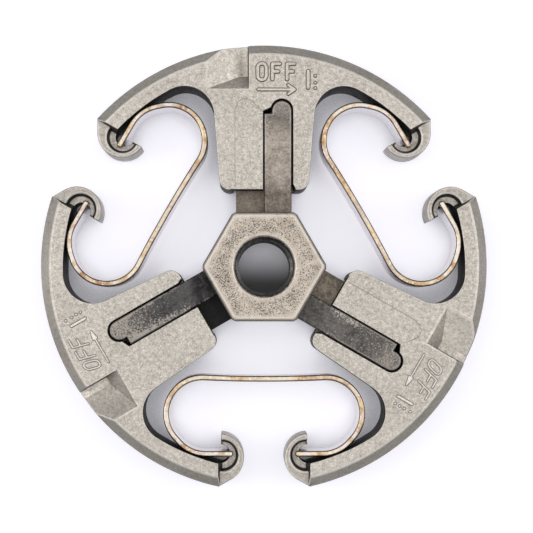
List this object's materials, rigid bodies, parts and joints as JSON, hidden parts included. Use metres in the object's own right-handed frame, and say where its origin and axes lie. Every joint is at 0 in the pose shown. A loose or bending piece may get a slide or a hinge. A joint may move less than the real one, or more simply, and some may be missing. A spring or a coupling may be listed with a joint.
{
  "type": "centrifugal clutch",
  "caption": "Chainsaw centrifugal clutch: hex spider hub whose arms carry sliding friction shoes, drawn inward by flat strip return springs.",
  "frame": {"origin": "bore axis at the hub's back face", "axes": "+Z along the bore axis toward the hex face, +Y along the arm of shoe 1"},
  "size_m": [0.0782, 0.0774, 0.0144],
  "materials": {
    "spider": "sintered steel, dark oxide worn bright on the hex face and edges",
    "shoe": "bare sintered steel with fine grain, darker bevelled rim",
    "spring": "tempered spring strip, straw to bronze edges"
  },
  "bodies": {
    "spider": {"spider_hub": "spider"},
    "shoe_1": {"clutch_shoe_1": "shoe"},
    "shoe_2": {"clutch_shoe_2": "shoe"},
    "shoe_3": {"clutch_shoe_3": "shoe"},
    "spring_1": {"return_spring_1": "spring"},
    "spring_2": {"return_spring_2": "spring"},
    "spring_3": {"return_spring_3": "spring"}
  },
  "joints": [
    {"name": "shoe_1_slide", "type": "slide", "parent": "spider", "child": "shoe_1", "axis": [0, 1, 0], "range_m": [0, 0.0007], "stiffness_N_per_m": 1000, "springref_m": -0.001},
    {"name": "shoe_2_slide", "type": "slide", "parent": "spider", "child": "shoe_2", "axis": [-0.866, -0.5, 0], "range_m": [0, 0.0007], "stiffness_N_per_m": 1000, "springref_m": -0.001},
    {"name": "shoe_3_slide", "type": "slide", "parent": "spider", "child": "shoe_3", "axis": [0.866, -0.5, 0], "range_m": [0, 0.0007], "stiffness_N_per_m": 1000, "springref_m": -0.001},
    {"name": "spring_1_stretch", "type": "slide", "parent": "shoe_1", "child": "spring_1", "axis": [-0.5, -0.866, 0], "range_m": [0, 0.00121], "deforming": ["return_spring_1"]},
    {"name": "spring_2_stretch", "type": "slide", "parent": "shoe_2", "child": "spring_2", "axis": [1, 0, 0], "range_m": [0, 0.00121], "deforming": ["return_spring_2"]},
    {"name": "spring_3_stretch", "type": "slide", "parent": "shoe_3", "child": "spring_3", "axis": [-0.5, 0.866, 0], "range_m": [0, 0.00121], "deforming": ["return_spring_3"]}
  ],
  "couplings": [
    {"joint": "shoe_2_slide", "follows": "shoe_1_slide", "ratio": 1},
    {"joint": "shoe_3_slide", "follows": "shoe_1_slide", "ratio": 1},
    {"joint": "spring_1_stretch", "follows": "shoe_1_slide", "ratio": 1.7321},
    {"joint": "spring_2_stretch", "follows": "shoe_1_slide", "ratio": 1.7321},
    {"joint": "spring_3_stretch", "follows": "shoe_1_slide", "ratio": 1.7321}
  ]
}
